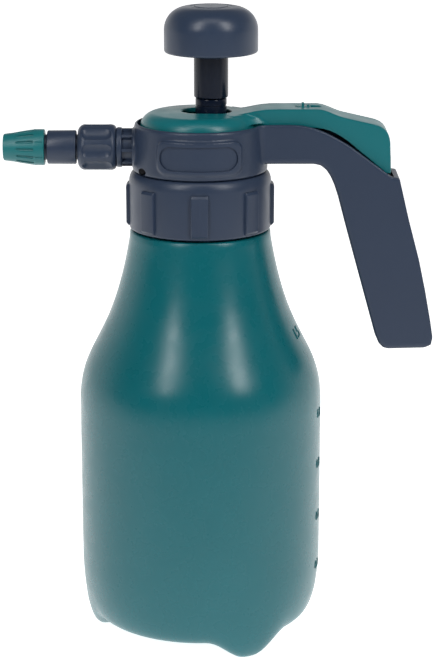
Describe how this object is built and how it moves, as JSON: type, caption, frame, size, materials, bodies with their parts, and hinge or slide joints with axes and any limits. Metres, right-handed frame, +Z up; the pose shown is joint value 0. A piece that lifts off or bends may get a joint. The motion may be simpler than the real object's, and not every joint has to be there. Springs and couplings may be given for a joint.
{
  "type": "pump sprayer",
  "caption": "Hand-pumped compression sprayer: three-footed bottle tank, ribbed collar nut, head with carrying grip, long trigger lever, adjustable nozzle and knob-topped plunger",
  "frame": {"origin": "centre of the bounding box's base, on the floor under the feet", "axes": "+Z up; the nozzle points to -X and the grip is on the +X side; +Y is across the object"},
  "size_m": [0.2124, 0.1208, 0.318],
  "materials": {
    "tank": "satin moulded plastic, dark teal",
    "lever": "satin moulded plastic, teal",
    "cap": "fine satin moulded plastic, teal",
    "slate": "fine moulded texture, blue-grey slate",
    "knob": "satin moulded plastic, blue-grey slate",
    "navy": "polished, near-black navy",
    "clear": "milky flexible tube",
    "white": "natural white moulding",
    "rubber": "matte black seal rubber",
    "steel": "drawn stainless wire and pin"
  },
  "bodies": {
    "tank": {"tank": "tank"},
    "head": {"head_body": "slate", "pump_cylinder": "white", "plunger_guide": "slate", "rod_wiper": "rubber", "neck_gasket": "rubber", "pivot_pin": "steel", "valve_body": "white", "stem_seal": "rubber", "valve_spring": "steel", "dip_tube": "clear", "dip_tube_strainer": "white", "nozzle_barrel": "slate", "barrel_seal": "rubber", "swirl_core": "white", "check_valve_cage": "white"},
    "collar": {"collar_nut": "slate"},
    "lever": {"trigger_lever": "lever"},
    "lock": {"lock_slider": "slate"},
    "stem": {"valve_stem": "white", "valve_poppet": "rubber"},
    "nut": {"nozzle_nut": "slate"},
    "cap_feed": {"cap_seal": "rubber"},
    "cap": {"nozzle_cap": "cap"},
    "flap": {"check_valve": "rubber"},
    "piston": {"piston_head": "white", "piston_seal": "rubber"},
    "plunger": {"plunger_rod": "navy", "plunger_sleeve": "navy", "knob": "knob", "knob_cap": "knob"}
  },
  "joints": [
    {"name": "head_lift", "type": "slide", "parent": "tank", "child": "head", "axis": [0, 0, 1], "range_m": [0, 0.225]},
    {"name": "collar_turn", "type": "hinge", "parent": "head", "child": "collar", "pos_m": [-0.01015, 0, 0.222], "axis": [0, 0, 1], "continuous": true},
    {"name": "lever_press", "type": "hinge", "parent": "head", "child": "lever", "pos_m": [-0.03795, 0, 0.24], "axis": [0, 1, 0], "range_deg": [0, 5.5], "stiffness_Nm_per_rad": 2, "springref_deg": -3.44},
    {"name": "lock_slide", "type": "slide", "parent": "lever", "child": "lock", "axis": [1, 0, 0], "range_m": [0, 0.0044]},
    {"name": "valve_pull", "type": "slide", "parent": "head", "child": "stem", "axis": [1, 0, 0], "range_m": [0, 0.00088], "deforming": ["valve_spring"]},
    {"name": "nozzle_nut_turn", "type": "hinge", "parent": "head", "child": "nut", "pos_m": [-0.06015, 0, 0.2491], "axis": [-1, 0, 0], "range_deg": [0, 90]},
    {"name": "cap_feed", "type": "slide", "parent": "head", "child": "cap_feed", "axis": [-1, 0, 0], "range_m": [-0.00101, 0.00201]},
    {"name": "cap_turn", "type": "hinge", "parent": "cap_feed", "child": "cap", "pos_m": [-0.09615, 0, 0.2491], "axis": [-1, 0, 0], "range_deg": [-180, 360]},
    {"name": "check_valve_drop", "type": "slide", "parent": "head", "child": "flap", "axis": [0, 0, -1], "range_m": [0, 0.0012], "stiffness_N_per_m": 40, "springref_m": -0.0005},
    {"name": "plunger_slide", "type": "slide", "parent": "head", "child": "piston", "axis": [0, 0, 1], "range_m": [0, 0.088]},
    {"name": "plunger_turn", "type": "hinge", "parent": "piston", "child": "plunger", "pos_m": [-0.00475, 0, 0.13], "axis": [0, 0, 1], "continuous": true}
  ],
  "couplings": [
    {"joint": "valve_pull", "follows": "lever_press", "m_per_rad": 0.0091},
    {"joint": "cap_feed", "follows": "cap_turn", "m_per_rad": 0.00031831}
  ]
}
